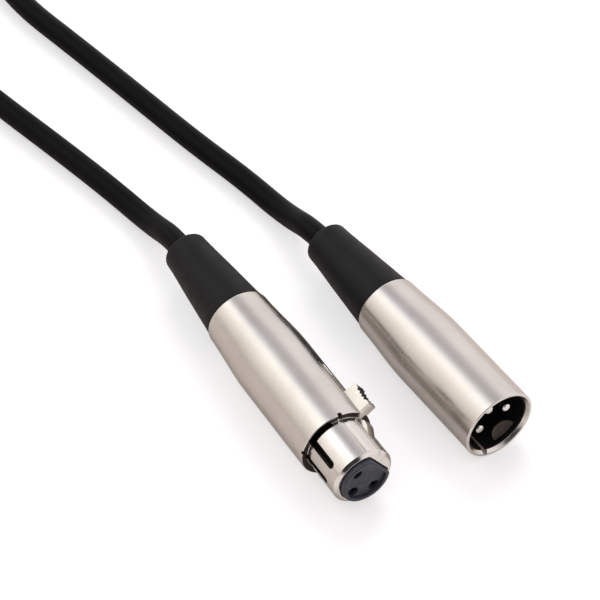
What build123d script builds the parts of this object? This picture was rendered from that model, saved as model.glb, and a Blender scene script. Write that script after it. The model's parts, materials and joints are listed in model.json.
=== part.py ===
"""Three-pin XLR cable: female and male cable connectors joined by one coiled cable.

Each connector is built in its own frame: +Z runs rearward from the shell's front rim and
+X points at the latch side. It is then laid on the floor by female_place or male_place.
"""
from build123d import *
import math
import os

# Floor frame: +Z up, mating ends towards -Y, origin under the middle of the two connectors
SHELL_R = 9.5
FEMALE_X, FEMALE_Y = -17.8, -27.95
MALE_X, MALE_Y = 17.83, -43.05
MALE_TURN = 3.36
FEMALE_LATCH_ANGLE = 35.0
MALE_LATCH_ANGLE = -70.0

# Shell and boot, along the connector
SHELL_LENGTH = 46.1
SHELL_REAR_R = 8.3
TAPER_START = 29.0
BORE_R = 7.2
BOOT_REAR = 72.2
BOOT_FRONT_R = 8.0
BOOT_SHOULDER = 70.9
BOOT_SHOULDER_R = 5.65
SPIGOT_FRONT = 37.0

# Contacts
PITCH_R = 4.1
CONTACT_ANGLES = (-90.0, 90.0, 180.0)
PIN_R = 1.18
PIN_ROOT_R = 1.35
SOCKET_BORE_R = 1.22
BARREL_R = 1.7
CUP_R = 1.3
CUP_BORE_R = 0.9
CUP_DEPTH = 3.0
FEMALE_CUP_END = 26.0
MALE_CUP_END = 25.0

# Female nose, insert and latch
NOSE_R = 7.9
NOSE_FRONT = -12.2
NOSE_REAR = 12.0
NOSE_SEAT_R = 8.0
INSERT_R = 6.6
INSERT_CHORD = 5.1
INSERT_FRONT = -13.5
INSERT_SEAT = 1.2
FLANGE_R = 6.3
FLANGE_CHORD = 4.75
FLANGE_REAR = -10.8
NECK_R = 6.1
FACE_RIM = 1.05
FACE_DEPTH = 0.7
CONTACT_FRONT = -11.5
CARRIER_REAR = 20.5
CARRIER_FLAT = 6.4
KEY_ANGLE = 45.0
LATCH_HALF_WIDTH = 1.75
LATCH_SLOT_HALF_WIDTH = 2.0
LATCH_SLOT_REAR = 18.0
LATCH_CHANNEL_FLOOR = 8.2
LATCH_CHANNEL_HALF_WIDTH = 2.2
LATCH_CHANNEL_START = 7.8
NOSE_CHANNEL_FLOOR = 5.75
PIVOT_X, PIVOT_Z = 8.0, 16.5
PIVOT_R = 0.6
PIVOT_LENGTH = 6.0
SPRING_WIRE_R = 0.18
SPRING_MID_R = 0.95
FINGER_SPAN = (66.0, 114.0)
FINGER_CUT_R = 9.25
FINGER_CUT_DEPTH = 2.0
WIDE_SLOT = (110.3, 7.0, -9.0)
NARROW_SLOT = (146.0, 5.6, -8.8)
FINGER_GAP = 0.75
KEY_HEIGHT = 0.35
KEY_HALF_ANGLE = 4.0

# Male mouth and insert
MOUTH_R = 8.05
LINER_R = 8.5
LIP_R = 8.25
LINER_FRONT = 1.0
MOUTH_FLOOR = 14.5
MALE_INSERT_REAR = 19.5
PIN_TIP = 2.3
WINDOW_R = 3.2
WINDOW_FRONT = 2.2
WINDOW_SIDE = -1.0
WINDOW_DEPTH_R = 9.0
KEY_GROOVE_R = 0.8
KEY_GROOVE_END = 13.0

# Clamp, set screws and ground lugs
CLAMP_FRONT = 33.5
CLAMP_COLLAR_END = 36.9
CLAMP_END = 45.0
CLAMP_R = 6.1
CLAMP_SLOTS = 3
SCREW_R = 1.0
FEMALE_SCREW = (16.0, 145.0)
MALE_SCREW = (17.0, 40.0)
LUG_THICKNESS = 0.3
LUG_LENGTH = 6.5

# Cable
CABLE_R = 3.0
JACKET_START = 32.0
LEAD_START = 60.0
COIL_X, COIL_Y = -11.5, 243.0
COIL_MID_R = 30.0
COIL_HALF_WIDTH = 9.0
COIL_BOTTOM, COIL_TOP = 1.0, 25.0
COIL_TURNS = 11.6
TIE_WIDTH = 5.0
TIE_THICKNESS = 1.0

BIG = 40.0


def female_place():
    turn = math.radians(FEMALE_LATCH_ANGLE)
    return Plane((FEMALE_X, FEMALE_Y, SHELL_R), (math.cos(turn), 0, math.sin(turn)), (0, 1, 0)).location


def male_place():
    turn = math.radians(MALE_LATCH_ANGLE)
    head = math.radians(MALE_TURN)
    latch_side = (math.cos(turn) * math.cos(head), math.cos(turn) * math.sin(head), math.sin(turn))
    return Plane((MALE_X, MALE_Y, SHELL_R), latch_side, (-math.sin(head), math.cos(head), 0)).location


def rod(radius, z0, z1, x=0.0, y=0.0):
    return Pos(x, y, z0) * Cylinder(radius, z1 - z0, align=(Align.CENTER, Align.CENTER, Align.MIN))


def ring(outer, inner, z0, z1):
    return rod(outer, z0, z1) - rod(inner, z0 - 1, z1 + 1)


def block(x0, x1, y0, y1, z0, z1):
    return Pos((x0 + x1) / 2, (y0 + y1) / 2, (z0 + z1) / 2) * Box(x1 - x0, y1 - y0, z1 - z0)


def sector(inner, outer, z0, z1, start, end):
    """Part of a ring between two angles about Z, in degrees from +X."""
    face = make_face(Polyline((inner, 0, z0), (outer, 0, z0), (outer, 0, z1), (inner, 0, z1), close=True))
    return Rot(0, 0, start) * revolve(face, Axis.Z, end - start)


def polar(radius, angle, z):
    return (radius * math.cos(math.radians(angle)), radius * math.sin(math.radians(angle)), z)


def turned(edges):
    """Solid of revolution about Z from connected edges in the XZ plane."""
    return revolve(make_face(edges), Axis.Z, 360)


def slab(points, half_width):
    """Outline of (x, z) points in the latch plane, thickened both ways along Y."""
    outline = Polyline(*[(x, 0, z) for x, z in points], close=True)
    return extrude(make_face(outline), half_width, dir=(0, 1, 0), both=True)


def shell_blank():
    """Outer form: cylindrical front, curved taper to the rear, rounded rear edge."""
    taper = Spline(
        (SHELL_R, 0, TAPER_START), (8.98, 0, 36), (8.55, 0, 41), (SHELL_REAR_R, 0, SHELL_LENGTH - 0.6),
        tangents=((0, 0, 1), (-0.06, 0, 1)),
    )
    edges = [
        Line((0, 0, 0), (SHELL_R - 0.3, 0, 0)),
        Line((SHELL_R - 0.3, 0, 0), (SHELL_R, 0, 0.3)),
        Line((SHELL_R, 0, 0.3), (SHELL_R, 0, TAPER_START)),
        taper,
        Line((SHELL_REAR_R, 0, SHELL_LENGTH - 0.6), (SHELL_REAR_R - 0.5, 0, SHELL_LENGTH)),
        Line((SHELL_REAR_R - 0.5, 0, SHELL_LENGTH), (0, 0, SHELL_LENGTH)),
        Line((0, 0, SHELL_LENGTH), (0, 0, 0)),
    ]
    return turned(edges)


def radial_hole(radius, r0, r1, z, angle):
    return Rot(0, 0, angle) * (Pos(r0, 0, z) * Rot(0, 90, 0) * Cylinder(
        radius, r1 - r0, align=(Align.CENTER, Align.CENTER, Align.MIN)))


def female_shell():
    body = shell_blank() - rod(NOSE_SEAT_R, -1, NOSE_REAR) - rod(BORE_R, -1, SHELL_LENGTH + 1)
    body -= block(6.0, BIG, -LATCH_SLOT_HALF_WIDTH, LATCH_SLOT_HALF_WIDTH, -1, LATCH_SLOT_REAR)
    body -= block(LATCH_CHANNEL_FLOOR, BIG, -LATCH_CHANNEL_HALF_WIDTH, LATCH_CHANNEL_HALF_WIDTH,
                  LATCH_CHANNEL_START, SHELL_LENGTH + 1)
    for start, end in finger_spans():
        body -= sector(NOSE_SEAT_R - 0.2, FINGER_CUT_R, -1, FINGER_CUT_DEPTH, start, end)
    body -= latch_pin()
    return body - radial_hole(SCREW_R, BORE_R - 1, BIG, *FEMALE_SCREW)


def finger_spans():
    """The angles that the two sprung fingers of the nose take up, one each side of the latch."""
    first, last = FINGER_SPAN
    return [(-last, -first), (first, last)]


def male_shell():
    body = shell_blank() - rod(LIP_R, -1, LINER_FRONT) - rod(LINER_R, LINER_FRONT, MALE_INSERT_REAR)
    body -= rod(BORE_R, -1, SHELL_LENGTH + 1)
    body -= latch_window()
    body -= key_groove()
    return body - radial_hole(SCREW_R, LINER_R - 1, BIG, *MALE_SCREW)


def latch_window():
    """D-shaped recess that the latch hook drops into: straight side forward, round side rearward."""
    plug = Pos(0, WINDOW_SIDE, WINDOW_FRONT) * Rot(0, 90, 0) * Cylinder(
        WINDOW_R, WINDOW_DEPTH_R, align=(Align.CENTER, Align.CENTER, Align.MIN))
    plug &= block(0, BIG, -BIG, BIG, WINDOW_FRONT, BIG)
    return plug & rod(WINDOW_DEPTH_R, 0, BIG) - rod(MOUTH_R - 1, -1, BIG)


def key_groove():
    x, y, _ = polar(LIP_R, KEY_ANGLE, 0)
    return rod(KEY_GROOVE_R, -1, KEY_GROOVE_END, x, y)


def contact_spots():
    return [polar(PITCH_R, angle, 0)[:2] for angle in CONTACT_ANGLES]


def female_nose():
    """Front sleeve with its D-shaped bore, sprung fingers, key rib and latch channel."""
    body = rod(NOSE_R, NOSE_FRONT, 0) + rod(NOSE_SEAT_R, 0, NOSE_REAR)
    front_edge = body.edges().filter_by(GeomType.CIRCLE).sort_by(Axis.Z)[0]
    body = chamfer(front_edge, 0.75)
    bore = rod(INSERT_R, NOSE_FRONT - 1, NOSE_REAR + 1)
    bore -= block(INSERT_CHORD, BIG, -BIG, BIG, NOSE_FRONT - 2, NOSE_REAR + 2)
    body -= bore
    body += sector(NOSE_R - 0.3, NOSE_R + KEY_HEIGHT, -11.0, -0.05,
                   -KEY_ANGLE - KEY_HALF_ANGLE, -KEY_ANGLE + KEY_HALF_ANGLE)
    body -= block(NOSE_CHANNEL_FLOOR, BIG, -LATCH_SLOT_HALF_WIDTH, LATCH_SLOT_HALF_WIDTH, -6.2, BIG)
    cut_end = FINGER_CUT_DEPTH + 1.0
    for start, end in finger_spans():
        body -= sector(INSERT_R - 0.5, BIG, -FINGER_GAP, cut_end, start, end)
    for angle, half_angle, front in (WIDE_SLOT, NARROW_SLOT):
        for middle in (-angle, angle):
            body -= sector(INSERT_R - 0.5, BIG, front, cut_end, middle - half_angle, middle + half_angle)
    return body


def female_insert():
    """Contact block: raised rim, recessed face and three socket holes."""
    front = rod(FLANGE_R, INSERT_FRONT, FLANGE_REAR) + rod(NECK_R, FLANGE_REAR, INSERT_SEAT)
    front -= block(FLANGE_CHORD, BIG, -BIG, BIG, INSERT_FRONT - 1, INSERT_SEAT + 1)
    seat = rod(INSERT_R, INSERT_SEAT, NOSE_REAR)
    seat -= block(INSERT_CHORD, BIG, -BIG, BIG, INSERT_SEAT - 1, NOSE_REAR + 1)
    recess = rod(FLANGE_R - FACE_RIM, INSERT_FRONT - 1, INSERT_FRONT + FACE_DEPTH)
    recess -= block(FLANGE_CHORD - FACE_RIM / 2, BIG, -BIG, BIG, INSERT_FRONT - 2, INSERT_FRONT + 2)
    body = front + seat - recess
    for x, y in contact_spots():
        body -= rod(1.4, INSERT_FRONT - 1, CONTACT_FRONT + 0.1, x, y)
        body -= rod(BARREL_R, CONTACT_FRONT, NOSE_REAR + 1, x, y)
    return body


def female_insert_rear():
    """Rear carrier that holds the contacts in the block."""
    body = rod(BORE_R, NOSE_REAR, CARRIER_REAR)
    body -= block(CARRIER_FLAT, BIG, -BIG, BIG, NOSE_REAR - 1, CARRIER_REAR + 1)
    for x, y in contact_spots():
        body -= rod(CUP_R, NOSE_REAR - 1, CARRIER_REAR + 1, x, y)
    return body


def female_contact(x, y):
    """Socket barrel in front, solder cup behind."""
    body = rod(BARREL_R, CONTACT_FRONT, NOSE_REAR, x, y) + rod(CUP_R, NOSE_REAR, FEMALE_CUP_END, x, y)
    body -= rod(SOCKET_BORE_R, CONTACT_FRONT - 1, 3.0, x, y)
    return body - rod(CUP_BORE_R, FEMALE_CUP_END - CUP_DEPTH, FEMALE_CUP_END + 1, x, y)


def male_pin(x, y):
    """Round-nosed contact pin with a solder cup behind the insert."""
    body = rod(PIN_R, PIN_TIP, MOUTH_FLOOR, x, y)
    tip = body.edges().filter_by(GeomType.CIRCLE).sort_by(Axis.Z)[0]
    body = fillet(tip, PIN_R - 0.25)
    body += rod(PIN_ROOT_R, MOUTH_FLOOR, MALE_INSERT_REAR, x, y)
    body += rod(CUP_R, MALE_INSERT_REAR, MALE_CUP_END, x, y)
    return body - rod(CUP_BORE_R, MALE_CUP_END - CUP_DEPTH, MALE_CUP_END + 1, x, y)


def male_insert():
    """Black liner of the mouth with the floor that carries the pins."""
    body = rod(LINER_R, LINER_FRONT, MALE_INSERT_REAR) - rod(MOUTH_R, LINER_FRONT - 1, MOUTH_FLOOR)
    body -= latch_window()
    body -= key_groove()
    for x, y in contact_spots():
        body -= rod(PIN_ROOT_R, MOUTH_FLOOR - 1, MALE_INSERT_REAR + 1, x, y)
    return body


def latch_lever():
    """Lever with a serrated thumb tab, a ramped hook in front and a forked pivot behind."""
    teeth = []
    for tooth in range(4):
        z = 2.9 + 1.02 * tooth
        teeth += [(12.7, z), (12.3, z + 0.35)]
    outline = [(7.1, -5.4), (7.55, -5.4), (8.6, -3.1), (8.85, -2.0), (8.1, -0.9), (7.6, -0.6), (7.6, 0.6), (12.1, 0.6)] + teeth
    outline += [(12.55, 6.98), (12.0, 7.6), (9.15, 7.6), (9.15, 14.8), (7.6, 14.8), (7.6, 9.0), (7.1, 8.2)]
    body = slab(outline, LATCH_HALF_WIDTH)
    boss = Pos(PIVOT_X, 0, PIVOT_Z) * Rot(90, 0, 0) * Cylinder(1.15, 2 * LATCH_HALF_WIDTH)
    fork = slab([(7.6, 14.6), (9.15, 14.6), (9.15, 19.4), (8.27, 19.4), (8.27, 17.2), (7.6, 17.0)],
                LATCH_HALF_WIDTH) + boss
    fork -= block(6, 10, -0.95, 0.95, 14.8, 20)
    body += fork
    return body - Pos(PIVOT_X, 0, PIVOT_Z) * Rot(90, 0, 0) * Cylinder(PIVOT_R + 0.05, 10)


def latch_pin():
    return Pos(PIVOT_X, 0, PIVOT_Z) * Rot(90, 0, 0) * Cylinder(PIVOT_R, PIVOT_LENGTH)


def latch_spring():
    """Torsion spring round the pivot: one leg under the lever, one on the carrier's flat."""
    pitch, height = 0.4, 1.6
    helix = Helix(pitch=pitch, height=height, radius=SPRING_MID_R)
    coil_path = Pos(PIVOT_X, -height / 2, PIVOT_Z) * Rot(-90, 0, 0) * Rot(0, 0, 180) * helix
    start = coil_path @ 0
    coil = sweep(Plane(start, z_dir=coil_path % 0) * Circle(SPRING_WIRE_R), path=coil_path, is_frenet=True)
    legs = []
    for at, foot in ((coil_path @ 0, (7.37, -height / 2, 10.4)), (coil_path @ 1, (6.62, height / 2, 19.8))):
        run = Line(at, foot)
        legs.append(sweep(Plane(at, z_dir=run % 0) * Circle(SPRING_WIRE_R), path=run))
    return coil + legs[0] + legs[1]


def ground_lug(z):
    """Bent strip on the inside of the shell, beside the rear face of the insert."""
    outside = BORE_R - 0.1
    return (block(-outside, LUG_THICKNESS - outside, -1, 1, z, z + LUG_LENGTH)
            + block(-outside, 1.5 - outside, -1, 1, z, z + LUG_THICKNESS))


def set_screw(z, angle, tip_r):
    shank = radial_hole(SCREW_R, tip_r, 9.2, z, angle)
    slot = Rot(0, 0, angle) * block(8.8, 10, -0.15, 0.15, z - 2, z + 2)
    return shank - slot


def clamp():
    """Collet that grips the jacket, squeezed by the boot."""
    body = rod(BORE_R, CLAMP_FRONT, CLAMP_COLLAR_END) + rod(CLAMP_R, CLAMP_COLLAR_END, CLAMP_END)
    body -= rod(CABLE_R, CLAMP_FRONT - 1, CLAMP_END + 1)
    for step in range(CLAMP_SLOTS):
        body -= Rot(0, 0, 180 / CLAMP_SLOTS * step) * block(
            -BIG, BIG, -0.4, 0.4, CLAMP_COLLAR_END + 2.6, CLAMP_END + 1)
    return body


def boot():
    """Strain-relief boot: threaded spigot inside the shell, tapering sleeve with a round end."""
    edges = [
        Line((0, 0, SPIGOT_FRONT), (BORE_R, 0, SPIGOT_FRONT)),
        Line((BORE_R, 0, SPIGOT_FRONT), (BORE_R, 0, SHELL_LENGTH)),
        Line((BORE_R, 0, SHELL_LENGTH), (BOOT_FRONT_R, 0, SHELL_LENGTH)),
        Line((BOOT_FRONT_R, 0, SHELL_LENGTH), (BOOT_SHOULDER_R, 0, BOOT_SHOULDER)),
        ThreePointArc((BOOT_SHOULDER_R, 0, BOOT_SHOULDER), (5.2, 0, 71.8), (4.4, 0, BOOT_REAR)),
        Line((4.4, 0, BOOT_REAR), (0, 0, BOOT_REAR)),
        Line((0, 0, BOOT_REAR), (0, 0, SPIGOT_FRONT)),
    ]
    return turned(edges) - rod(CLAMP_R, SPIGOT_FRONT - 1, CLAMP_END + 0.2) - rod(CABLE_R, SPIGOT_FRONT, BOOT_REAR + 1)


def wire(angle, cup_end):
    """Insulated core from the stripped jacket into its solder cup."""
    path = FilletPolyline(
        polar(1.4, angle, JACKET_START), polar(1.4, angle, JACKET_START - 1.6),
        polar(PITCH_R, angle, cup_end + 1.0), polar(PITCH_R, angle, cup_end - 2.5), radius=0.9,
    )
    return sweep(Plane(path @ 0, z_dir=path % 0) * Circle(CUP_BORE_R), path=path)


def jacket():
    return rod(CABLE_R, JACKET_START, LEAD_START)


def in_world(place, x, y, z):
    return (place * Pos(x, y, z)).position


def female_route():
    """Lead from inside the female boot down to the floor and on to the coil."""
    start = in_world(female_place(), 0, 0, LEAD_START)
    out = in_world(female_place(), 0, 0, LEAD_START + 16.0)
    return [start, out, Vector(-17.4, 62.5, 3.3), Vector(-20.6, 78.5, 3.0), Vector(-25.2, 98.5, 3.0),
            Vector(-30.9, 121.5, 3.0), Vector(-36.2, 146.0, 3.0), Vector(-39.2, 168.0, 3.0),
            Vector(-41.9, 191.0, 3.2), Vector(-44.2, 213.4, 3.8)]


def male_route():
    """Lead from inside the male boot down to the floor and on to the coil's outer turns."""
    start = in_world(male_place(), 0, 0, LEAD_START)
    out = in_world(male_place(), 0, 0, LEAD_START + 15.0)
    return [start, out, Vector(12.6, 47.0, 3.2), Vector(10.1, 63.5, 3.0), Vector(5.9, 81.5, 3.0),
            Vector(1.6, 105.5, 3.0), Vector(-3.2, 130.0, 3.0), Vector(-8.0, 152.5, 3.0),
            Vector(-7.4, 171.5, 3.2), Vector(0.9, 188.5, 5.6), Vector(9.7, 205.0, 8.8)]


def tube(points, name):
    """Straight runs joined by tangent arcs that are as large as the runs allow."""
    radii = []
    for a, b, c in zip(points, points[1:], points[2:]):
        turn = math.radians((b - a).get_angle(c - b))
        radii.append(0.45 * min((b - a).length, (c - b).length) / math.tan(turn / 2))
    path = FilletPolyline(*points, radius=radii)
    solid = sweep(Plane(path @ 0, z_dir=path % 0) * Circle(CABLE_R), path=path)
    section = math.pi * CABLE_R ** 2
    print(name, "length", round(path.length, 1), "radii", [round(r) for r in radii])
    print(name, "volume against section x length", round(solid.volume / (section * path.length), 4))
    return solid, path.length


def coil():
    """Outer form of the coiled cable, a ring with rounded edges lying on its tie."""
    inner, outer = COIL_MID_R - COIL_HALF_WIDTH, COIL_MID_R + COIL_HALF_WIDTH
    body = ring(outer, inner, COIL_BOTTOM, COIL_TOP)
    body = fillet(body.edges().filter_by(GeomType.CIRCLE), CABLE_R - 0.2)
    return Pos(COIL_X, COIL_Y, 0) * body


def coil_tie():
    """Plastic tie round the bundle with its square head on the outside."""
    inner, outer = COIL_MID_R - COIL_HALF_WIDTH, COIL_MID_R + COIL_HALF_WIDTH
    half = TIE_WIDTH / 2
    band = block(inner - TIE_THICKNESS, outer + TIE_THICKNESS, -half, half, 0, COIL_TOP + TIE_THICKNESS)
    band -= ring(outer, inner, COIL_BOTTOM, COIL_TOP)
    band += block(outer + 0.6, outer + 4.6, -half - 1, half + 1, 10, 17)
    return Pos(COIL_X, COIL_Y, 0) * Rot(0, 0, 60) * band


def connector_pieces():
    female, male = female_place(), male_place()
    pieces = {
        "female_shell": female * female_shell(),
        "female_nose": female * female_nose(),
        "female_insert": female * female_insert(),
        "female_insert_rear": female * female_insert_rear(),
        "latch_lever": female * latch_lever(),
        "latch_pin": female * latch_pin(),
        "latch_spring": female * latch_spring(),
        "female_ground_lug": female * ground_lug(CARRIER_REAR),
        "female_set_screw": female * set_screw(*FEMALE_SCREW, BORE_R),
        "male_shell": male * male_shell(),
        "male_insert": male * male_insert(),
        "male_ground_lug": male * ground_lug(MALE_INSERT_REAR),
        "male_set_screw": male * set_screw(*MALE_SCREW, LINER_R),
    }
    for gender, place, cup_end in (("female", female, FEMALE_CUP_END), ("male", male, MALE_CUP_END)):
        pieces[gender + "_clamp"] = place * clamp()
        pieces[gender + "_boot"] = place * boot()
        pieces[gender + "_jacket"] = place * jacket()
        for number, angle in enumerate(CONTACT_ANGLES, 1):
            pieces[f"{gender}_wire_{number}"] = place * wire(angle, cup_end)
    for number, (x, y) in enumerate(contact_spots(), 1):
        pieces[f"female_contact_{number}"] = female * female_contact(x, y)
        pieces[f"male_pin_{number}"] = male * male_pin(x, y)
    return pieces


def main():
    os.makedirs("parts", exist_ok=True)
    pieces = connector_pieces()
    pieces["cable_lead_female"], female_length = tube(female_route(), "female lead")
    pieces["cable_lead_male"], male_length = tube(male_route(), "male lead")
    pieces["cable_coil"] = coil()
    pieces["cable_tie"] = coil_tie()
    coiled = 2 * math.pi * COIL_MID_R * COIL_TURNS
    print("cable length about", round(female_length + male_length + coiled + 2 * (LEAD_START - JACKET_START)))
    for name, shape in pieces.items():
        export_step(shape, f"parts/{name}.step")


main()
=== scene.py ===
"""XLR cable: female and male connectors side by side on a pale floor, the cable's slack coiled out of view.

Connector pieces are shaped in the connector's own frame in millimetres, with +Z rearward from the
shell's front rim and +X at the latch side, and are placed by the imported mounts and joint.
"""
import json
import math

import bmesh
import bpy
from mathutils import Matrix, Vector


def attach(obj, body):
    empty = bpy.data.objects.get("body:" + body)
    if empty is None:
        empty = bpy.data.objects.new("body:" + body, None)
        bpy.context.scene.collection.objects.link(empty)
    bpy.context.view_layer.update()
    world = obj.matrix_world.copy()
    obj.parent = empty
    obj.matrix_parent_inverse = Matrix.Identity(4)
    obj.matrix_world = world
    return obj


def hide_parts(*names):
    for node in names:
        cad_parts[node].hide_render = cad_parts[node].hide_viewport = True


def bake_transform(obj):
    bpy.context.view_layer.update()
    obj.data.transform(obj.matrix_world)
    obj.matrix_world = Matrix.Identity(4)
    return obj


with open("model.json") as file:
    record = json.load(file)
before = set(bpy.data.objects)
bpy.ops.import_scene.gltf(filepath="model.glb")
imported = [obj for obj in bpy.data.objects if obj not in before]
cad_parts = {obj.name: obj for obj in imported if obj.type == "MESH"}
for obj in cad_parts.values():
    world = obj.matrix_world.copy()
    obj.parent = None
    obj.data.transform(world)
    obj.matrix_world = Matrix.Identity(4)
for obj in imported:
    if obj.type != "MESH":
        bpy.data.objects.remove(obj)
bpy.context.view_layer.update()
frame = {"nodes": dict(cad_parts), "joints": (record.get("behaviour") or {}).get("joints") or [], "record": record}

MM = 0.001
BIG = 40.0
SHARP_ANGLE = math.radians(35)
FLOOR_Z = 0.0

# Shell and boot, along the connector
SHELL_R, SHELL_LENGTH = 9.5, 46.1
# Radius and place of each ring behind the front edge; those on the straight part split the long faces by the cuts
SHELL_PROFILE = [(9.5, 1.1), (9.5, 2.6), (9.5, 7.4), (9.5, 18.4), (9.5, 27.0), (9.49, 28.5), (9.455, 30.0),
                 (9.385, 31.5), (9.29, 33.0), (9.17, 34.5), (9.04, 36.0), (8.905, 37.5), (8.775, 39.0),
                 (8.65, 40.5), (8.54, 42.0), (8.44, 43.5), (8.36, 44.8)]
SHELL_REAR_R = 8.3
SHELL_SEGMENTS = 160
BORE_R = 7.2
BOOT_FRONT, BOOT_REAR = 46.15, 72.2
# Set-screw holes: radius, then place and angle on each shell
SCREW_R, FEMALE_SCREW, MALE_SCREW = 1.0, (16.0, 145.0), (17.0, 40.0)

# Contacts; ENTRY_R is the hole in front of each socket
PITCH_R = 4.1
CONTACT_ANGLES = (-90.0, 90.0, 180.0)
PIN_R, PIN_ROOT_R, PIN_TIP = 1.18, 1.35, 2.3
BARREL_R, CUP_R, CUP_BORE_R, CUP_DEPTH = 1.7, 1.3, 0.9, 3.0
ENTRY_R = 1.4

# Female nose, insert and latch
NOSE_R, NOSE_SEAT_R, NOSE_FRONT, NOSE_REAR = 7.9, 8.0, -12.2, 12.0
INSERT_R, INSERT_CHORD, INSERT_FRONT, INSERT_SEAT = 6.6, 5.1, -13.5, 1.2
FLANGE_R, FLANGE_CHORD, FLANGE_REAR, NECK_R = 6.3, 4.75, -10.8, 6.1
FACE_RIM, FACE_DEPTH = 1.05, 0.7
CONTACT_FRONT = -11.5
RIB_ANGLE, RIB_HALF_ANGLE, RIB_R, RIB_FRONT, RIB_REAR = -44.3, 3.4, 8.25, -11.35, -0.6
CREASE_HALF_ANGLE, CREASE_DEPTH = 0.55, 0.13
LATCH_HALF_WIDTH = 1.75
SLOT_HALF_WIDTH, SLOT_REAR = 2.0, 18.0
CHANNEL_FLOOR, CHANNEL_HALF_WIDTH, CHANNEL_START = 8.2, 2.2, 7.8
NOSE_CHANNEL_FLOOR, NOSE_CHANNEL_FRONT = 5.75, -6.2
PIVOT_X, PIVOT_Z, PIVOT_R = 8.0, 16.5, 0.6
SPRING_MID_R, SPRING_WIRE_R, SPRING_LENGTH, SPRING_TURNS = 0.95, 0.18, 1.6, 4
# Peaks and valleys of the thumb tab's grip, front to back
GRIP = ((12.3, 1.55), (11.78, 2.42), (12.2, 2.6), (11.8, 3.4), (12.24, 3.66), (11.95, 4.36), (12.4, 4.73),
        (12.04, 5.4), (12.58, 5.9))
# Angles of the gap between shell and sleeve on each side, its ends and its outer radius
NOSE_GAP, SHELL_GAP = (65.0, 116.0), (68.0, 111.5)
GAP_FRONT, SHELL_GAP_REAR, NOSE_GAP_REAR, GAP_R = -0.75, 2.0, 3.0, 9.25
# Inner radius, depth and the two angles of the small notches in the shell's rim
RIM_NOTCHES = ((7.7, 0.8, -52.8, -46.4), (8.7, 0.5, -136.0, -130.0))
# Angle, half-angle and front end of the slots between the sleeve's fingers
FINGER_SLOTS = ((110.3, 7.0, -9.0), (146.3, 5.9, -8.8))

# Male mouth
MOUTH_R, LINER_R, LIP_R = 8.05, 8.5, 8.25
LINER_FRONT, MOUTH_FLOOR, MALE_INSERT_REAR = 1.0, 14.5, 19.5
KEY_ANGLE, KEY_GROOVE_R, KEY_GROOVE_END = 45.0, 0.8, 13.0
# Front edge, middle, half-width and length of the recess that a latch hook drops into
WINDOW = (2.2, -0.9, 3.1, 3.3)
WINDOW_R = 9.0
MALE_CUP_END = 25.0

# Cable and coil, metres
CABLE_D = 0.006
COIL_CENTRE = (-0.0115, 0.243)
COIL_START_DEG = 187.9
COIL_TURNS = 11.597
# Radius and height of the twelve places a turn takes up, in the order the cable is wound
COIL_PLACES = ((36, 4), (30, 4), (24, 4), (24, 10), (30, 10), (30, 16), (24, 16), (24, 22), (30, 22),
               (36, 22), (36, 16), (36, 10))
POINTS_PER_TURN = 20


# ---------------------------------------------------------------- placing

MOUNTS = {m["name"]: m for m in frame["record"]["mounts"]}
LATCH = next(j for j in frame["joints"] if j["name"] == "latch_press")


def axes(origin, x, z):
    """Matrix from a connector's own frame in millimetres to the row frame in metres."""
    y = z.cross(x)
    m = Matrix((x, y, z)).transposed().to_4x4() @ Matrix.Scale(MM, 4)
    m.translation = origin
    return m


def female_place():
    z = -Vector(MOUNTS["female_nose"]["axis"]).normalized()
    y = Vector(LATCH["axis"]).normalized()
    return axes(Vector(MOUNTS["female_nose"]["pos_m"]) - z * NOSE_FRONT * MM, y.cross(z), z)


def male_place():
    z = -Vector(MOUNTS["male_mouth"]["axis"]).normalized()
    origin = Vector(MOUNTS["male_mouth"]["pos_m"])
    to_pin = Vector(MOUNTS["male_pin_3"]["pos_m"]) - origin
    x = -(to_pin - z * to_pin.dot(z)).normalized()
    return axes(origin, x, z)


FEMALE, MALE = female_place(), male_place()


# ---------------------------------------------------------------- materials

def node(tree, kind, inputs=(), **settings):
    n = tree.nodes.new(kind)
    for key, value in settings.items():
        setattr(n, key, value)
    for key, value in dict(inputs).items():
        if isinstance(value, bpy.types.NodeSocket):
            tree.links.new(value, n.inputs[key])
        else:
            n.inputs[key].default_value = value
    return n


def noise(tree, where, scale, detail=3.0, rough=0.55):
    return node(tree, "ShaderNodeTexNoise",
                {"Vector": where, "Scale": scale, "Detail": detail, "Roughness": rough}).outputs["Fac"]


def ranged(tree, value, low, high, to_low, to_high):
    return node(tree, "ShaderNodeMapRange", {
        "Value": value, "From Min": low, "From Max": high, "To Min": to_low, "To Max": to_high}).outputs["Result"]


def maths(tree, operation, a, b):
    return node(tree, "ShaderNodeMath", {0: a, 1: b}, operation=operation).outputs[0]


def mixed(tree, factor, a, b):
    n = node(tree, "ShaderNodeMix", {"Factor": factor}, data_type="RGBA")
    for socket, value in ((n.inputs[6], a), (n.inputs[7], b)):
        if isinstance(value, bpy.types.NodeSocket):
            tree.links.new(value, socket)
        else:
            socket.default_value = (*value, 1.0)
    return n.outputs[2]


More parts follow.
